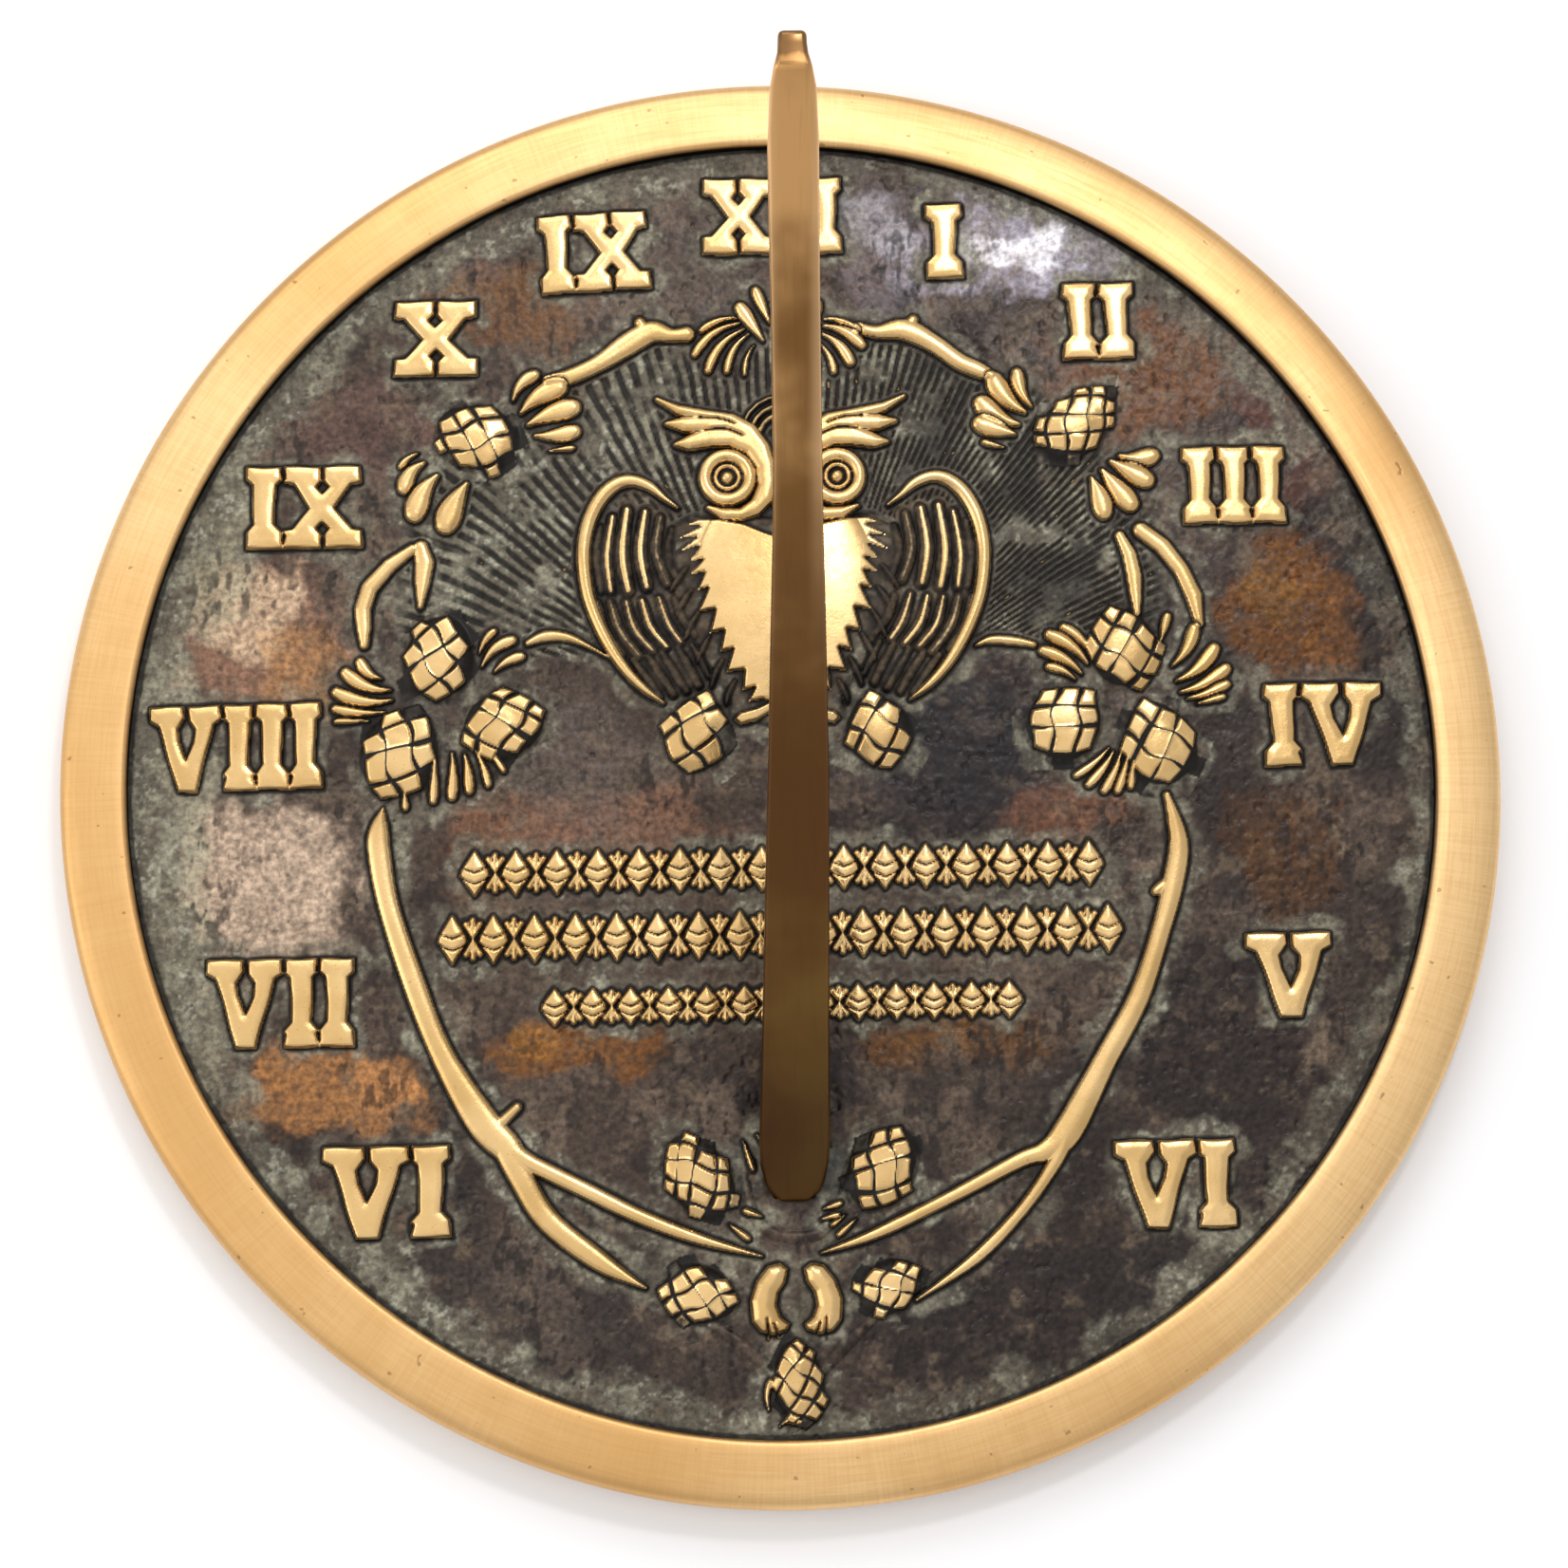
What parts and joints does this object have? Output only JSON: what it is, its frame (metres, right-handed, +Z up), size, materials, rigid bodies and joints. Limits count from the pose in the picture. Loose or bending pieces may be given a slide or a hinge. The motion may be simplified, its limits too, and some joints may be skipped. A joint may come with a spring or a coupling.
{
  "type": "garden sundial",
  "caption": "Round cast brass garden sundial with raised owl, pine wreath and Roman hour numerals, and a sloping gnomon screwed on from below.",
  "frame": {"origin": "centre of the plate's seat ring, in the plane it rests on", "axes": "+Z up, +Y north towards the noon numeral and along the gnomon's rise, +X east"},
  "size_m": [0.254, 0.254, 0.1421],
  "materials": {
    "dial_brass": "cast brass, dark brown and grey-green patina in the hollows, numerals, relief and rim rubbed bright",
    "gnomon_brass": "smooth cast brass, dark brown toned",
    "fixing_brass": "plain turned brass"
  },
  "bodies": {
    "root": {"dial_plate": "dial_brass", "gnomon": "gnomon_brass", "gnomon_screw_front": "fixing_brass", "lock_washer_front": "fixing_brass", "flat_washer_front": "fixing_brass", "gnomon_screw_rear": "fixing_brass", "lock_washer_rear": "fixing_brass", "flat_washer_rear": "fixing_brass"}
  },
  "joints": []
}
